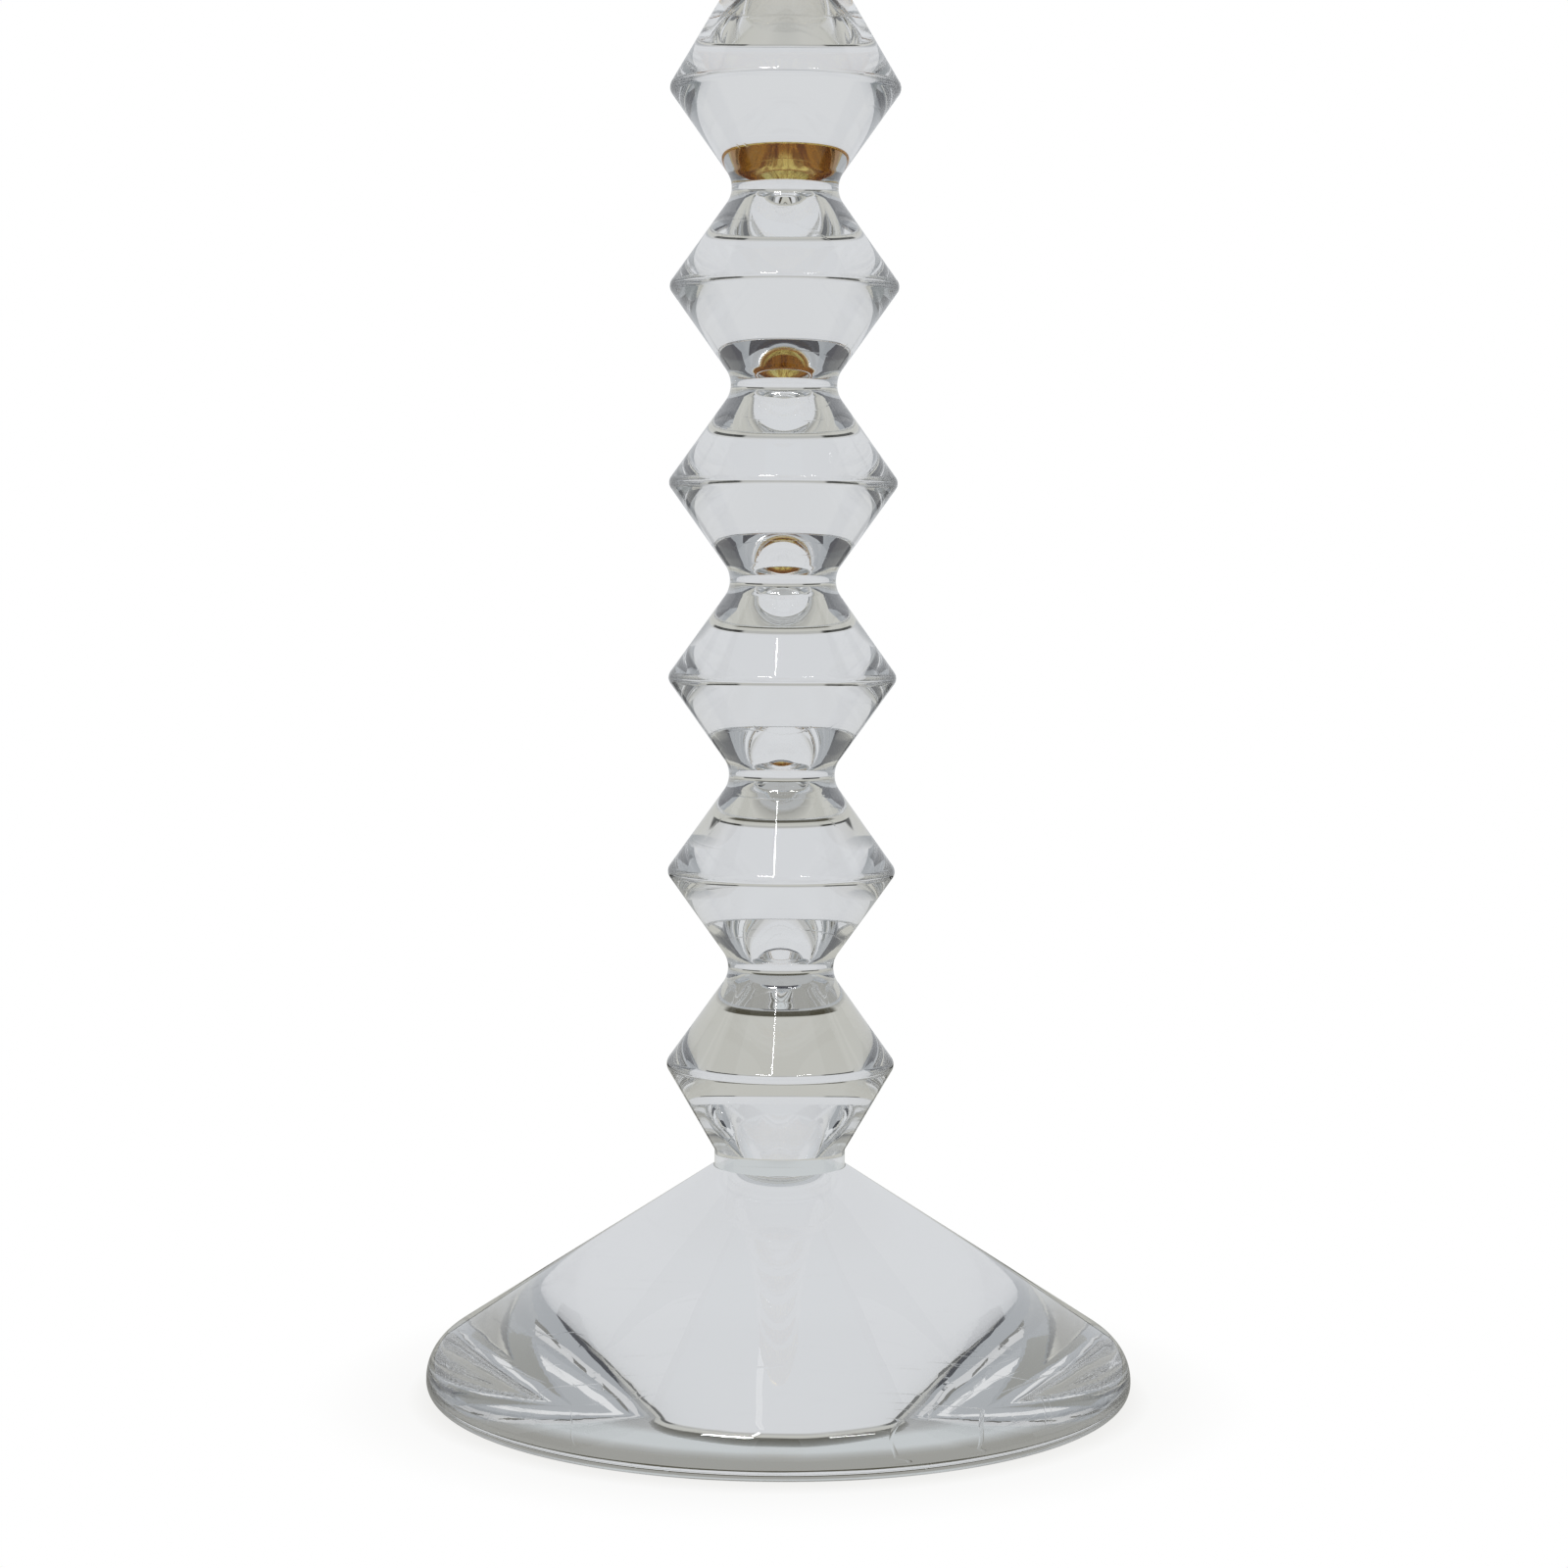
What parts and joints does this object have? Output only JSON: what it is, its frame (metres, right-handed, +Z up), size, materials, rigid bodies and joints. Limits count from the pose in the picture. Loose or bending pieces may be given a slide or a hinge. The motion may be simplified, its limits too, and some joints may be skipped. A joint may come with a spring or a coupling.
{
  "type": "glass candlestick",
  "caption": "Tall turned crystal candlestick: solid conical foot, stem of stacked double-cone beads, and a gilt-brass candle cup with a drip pan for one dinner candle.",
  "frame": {"origin": "centre of the foot's flat underside, on the table", "axes": "+Z up along the stem's axis; the shape is the same all round, so +X and +Y are free"},
  "size_m": [0.1254, 0.1254, 0.2774],
  "materials": {
    "crystal": "polished clear lead crystal",
    "gilt_brass": "satin gilt"
  },
  "bodies": {
    "root": {"foot": "crystal", "stem_bead_1": "crystal", "stem_bead_2": "crystal", "stem_bead_3": "crystal", "stem_bead_4": "crystal", "stem_bead_5": "crystal", "stem_bead_6": "crystal", "candle_cup": "gilt_brass"}
  },
  "joints": []
}
